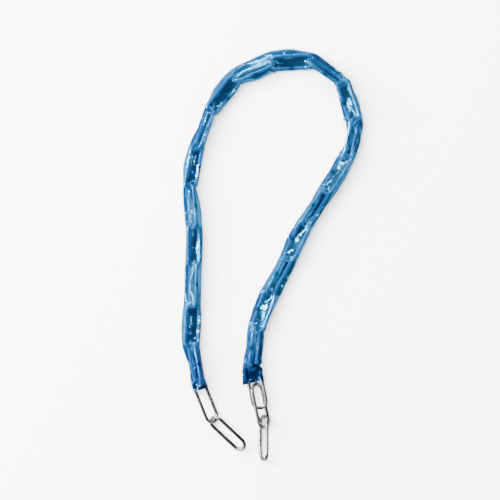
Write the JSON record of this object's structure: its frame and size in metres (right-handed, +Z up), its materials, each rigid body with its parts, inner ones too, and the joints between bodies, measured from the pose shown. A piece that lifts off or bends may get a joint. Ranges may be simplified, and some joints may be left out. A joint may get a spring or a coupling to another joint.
{
  "type": "chain lock",
  "caption": "Bicycle chain lock: long steel links in a thin translucent blue plastic sleeve, with bare end links at both ends for a padlock.",
  "frame": {"origin": "under the middle of the chain, on the surface that it lies on", "axes": "+Z up, +Y from the two free ends to the top of the loop, +X from the left leg to the right leg"},
  "size_m": [0.1568, 0.3486, 0.015],
  "materials": {
    "plated_steel": "bright zinc plating",
    "blue_film": "glossy translucent film"
  },
  "bodies": {
    "link_01": {"link_01": "plated_steel"},
    "link_02": {"link_02": "plated_steel", "sleeve_02": "blue_film"},
    "link_03": {"link_03": "plated_steel", "sleeve_03": "blue_film"},
    "link_04": {"link_04": "plated_steel", "sleeve_04": "blue_film"},
    "link_05": {"link_05": "plated_steel", "sleeve_05": "blue_film"},
    "link_06": {"link_06": "plated_steel", "sleeve_06": "blue_film"},
    "link_07": {"link_07": "plated_steel", "sleeve_07": "blue_film"},
    "link_08": {"link_08": "plated_steel", "sleeve_08": "blue_film"},
    "link_09": {"link_09": "plated_steel", "sleeve_09": "blue_film"},
    "link_10": {"link_10": "plated_steel", "sleeve_10": "blue_film"},
    "link_11": {"link_11": "plated_steel", "sleeve_11": "blue_film"},
    "link_12": {"link_12": "plated_steel", "sleeve_12": "blue_film"},
    "link_13": {"link_13": "plated_steel", "sleeve_13": "blue_film"},
    "link_14": {"link_14": "plated_steel", "sleeve_14": "blue_film"},
    "link_15": {"link_15": "plated_steel", "sleeve_15": "blue_film"},
    "link_16": {"link_16": "plated_steel", "sleeve_16": "blue_film"},
    "link_17": {"link_17": "plated_steel", "sleeve_17": "blue_film"},
    "link_18": {"link_18": "plated_steel", "sleeve_18": "blue_film"},
    "link_19": {"link_19": "plated_steel", "sleeve_19": "blue_film"},
    "link_20": {"link_20": "plated_steel", "sleeve_20": "blue_film"},
    "link_21": {"link_21": "plated_steel", "sleeve_21": "blue_film"},
    "link_22": {"link_22": "plated_steel", "sleeve_22": "blue_film"},
    "link_23": {"link_23": "plated_steel"},
    "link_24": {"link_24": "plated_steel"}
  },
  "joints": [
    {"name": "pivot_01_02", "type": "hinge", "parent": "link_02", "child": "link_01", "pos_m": [-0.05013, -0.14041, 0.0065], "axis": [-0.7206, -0.2911, 0.6293], "range_deg": [-75, 45]},
    {"name": "pivot_02_03", "type": "hinge", "parent": "link_03", "child": "link_02", "pos_m": [-0.063, -0.10954, 0.0075], "axis": [-0.4623, -0.0815, -0.8829], "range_deg": [-14, 45], "deforming": ["sleeve_02", "sleeve_03"]},
    {"name": "pivot_03_04", "type": "hinge", "parent": "link_04", "child": "link_03", "pos_m": [-0.06919, -0.07643, 0.0075], "axis": [-0.8824, 0.0308, 0.4695], "range_deg": [-40, 30], "deforming": ["sleeve_03", "sleeve_04"]},
    {"name": "pivot_04_05", "type": "hinge", "parent": "link_05", "child": "link_04", "pos_m": [-0.06799, -0.0428, 0.0075], "axis": [-0.4694, 0.0082, -0.8829], "range_deg": [-5, 35], "deforming": ["sleeve_04", "sleeve_05"]},
    {"name": "pivot_05_06", "type": "hinge", "parent": "link_06", "child": "link_05", "pos_m": [-0.06737, -0.00916, 0.0075], "axis": [-0.7193, 0, 0.6947], "range_deg": [-35, 35], "deforming": ["sleeve_05", "sleeve_06"]},
    {"name": "pivot_06_07", "type": "hinge", "parent": "link_07", "child": "link_06", "pos_m": [-0.06723, 0.0245, 0.0075], "axis": [-0.4677, -0.0409, -0.8829], "range_deg": [-3, 30], "deforming": ["sleeve_06", "sleeve_07"]},
    {"name": "pivot_07_08", "type": "hinge", "parent": "link_08", "child": "link_07", "pos_m": [-0.0706, 0.05804, 0.0075], "axis": [-0.7319, 0.129, 0.6691], "range_deg": [-45, 25], "deforming": ["sleeve_07", "sleeve_08"]},
    {"name": "pivot_08_09", "type": "hinge", "parent": "link_09", "child": "link_08", "pos_m": [-0.06506, 0.09127, 0.0075], "axis": [-0.4383, 0.1682, -0.8829], "range_deg": [-2, 45], "deforming": ["sleeve_08", "sleeve_09"]},
    {"name": "pivot_09_10", "type": "hinge", "parent": "link_10", "child": "link_09", "pos_m": [-0.05344, 0.12292, 0.0075], "axis": [-0.6533, 0.5104, 0.5592], "range_deg": [-45, 25], "deforming": ["sleeve_09", "sleeve_10"]},
    {"name": "pivot_10_11", "type": "hinge", "parent": "link_11", "child": "link_10", "pos_m": [-0.03322, 0.15008, 0.0075], "axis": [-0.1783, 0.4005, -0.8988], "range_deg": [-2, 60], "deforming": ["sleeve_10", "sleeve_11"]},
    {"name": "pivot_11_12", "type": "hinge", "parent": "link_12", "child": "link_11", "pos_m": [-0.00262, 0.16436, 0.0075], "axis": [-0.0453, 0.8648, 0.5], "range_deg": [-45, 5], "deforming": ["sleeve_11", "sleeve_12"]},
    {"name": "pivot_12_13", "type": "hinge", "parent": "link_12", "child": "link_13", "pos_m": [0.03433, 0.1663, 0.0075], "axis": [-0.0453, 0.8648, 0.5], "range_deg": [-4, 55], "deforming": ["sleeve_12", "sleeve_13"]},
    {"name": "pivot_13_14", "type": "hinge", "parent": "link_13", "child": "link_14", "pos_m": [0.061, 0.14612, 0.0075], "axis": [0.2514, 0.3591, -0.8988], "range_deg": [-65, 2], "deforming": ["sleeve_13", "sleeve_14"]},
    {"name": "pivot_14_15", "type": "hinge", "parent": "link_14", "child": "link_15", "pos_m": [0.07076, 0.11417, 0.0075], "axis": [0.7451, 0.2566, 0.6157], "range_deg": [-15, 55], "deforming": ["sleeve_14", "sleeve_15"]},
    {"name": "pivot_15_16", "type": "hinge", "parent": "link_15", "child": "link_16", "pos_m": [0.06283, 0.08183, 0.0075], "axis": [0.5183, -0.1102, -0.848], "range_deg": [-50, 20], "deforming": ["sleeve_15", "sleeve_16"]},
    {"name": "pivot_16_17", "type": "hinge", "parent": "link_16", "child": "link_17", "pos_m": [0.0447, 0.0541, 0.0075], "axis": [0.5675, -0.3546, 0.7431], "range_deg": [-35, 35], "deforming": ["sleeve_16", "sleeve_17"]},
    {"name": "pivot_17_18", "type": "hinge", "parent": "link_17", "child": "link_18", "pos_m": [0.0267, 0.02644, 0.0075], "axis": [0.469, -0.3046, -0.829], "range_deg": [-30, 40], "deforming": ["sleeve_17", "sleeve_18"]},
    {"name": "pivot_18_19", "type": "hinge", "parent": "link_18", "child": "link_19", "pos_m": [0.01244, -0.00334, 0.0075], "axis": [0.7083, -0.3454, 0.6157], "range_deg": [-35, 35], "deforming": ["sleeve_18", "sleeve_19"]},
    {"name": "pivot_19_20", "type": "hinge", "parent": "link_19", "child": "link_20", "pos_m": [-0.00311, -0.03244, 0.0075], "axis": [0.4937, -0.2625, -0.829], "range_deg": [-30, 40], "deforming": ["sleeve_19", "sleeve_20"]},
    {"name": "pivot_20_21", "type": "hinge", "parent": "link_20", "child": "link_21", "pos_m": [-0.01414, -0.06357, 0.0075], "axis": [0.7969, -0.29, 0.5299], "range_deg": [-40, 30], "deforming": ["sleeve_20", "sleeve_21"]},
    {"name": "pivot_21_22", "type": "hinge", "parent": "link_21", "child": "link_22", "pos_m": [-0.01772, -0.09643, 0.0075], "axis": [0.466, -0.0572, -0.8829], "range_deg": [-20, 15], "deforming": ["sleeve_21", "sleeve_22"]},
    {"name": "slide_22_23", "type": "slide", "parent": "link_22", "child": "link_23", "axis": [0.2079, -0.9781, 0], "range_m": [-0.003, 0.015]},
    {"name": "pivot_23_24", "type": "hinge", "parent": "link_23", "child": "link_24", "pos_m": [-0.00675, -0.14491, 0.0059], "axis": [0.6795, 0.1444, -0.7193], "range_deg": [-70, 50]}
  ]
}
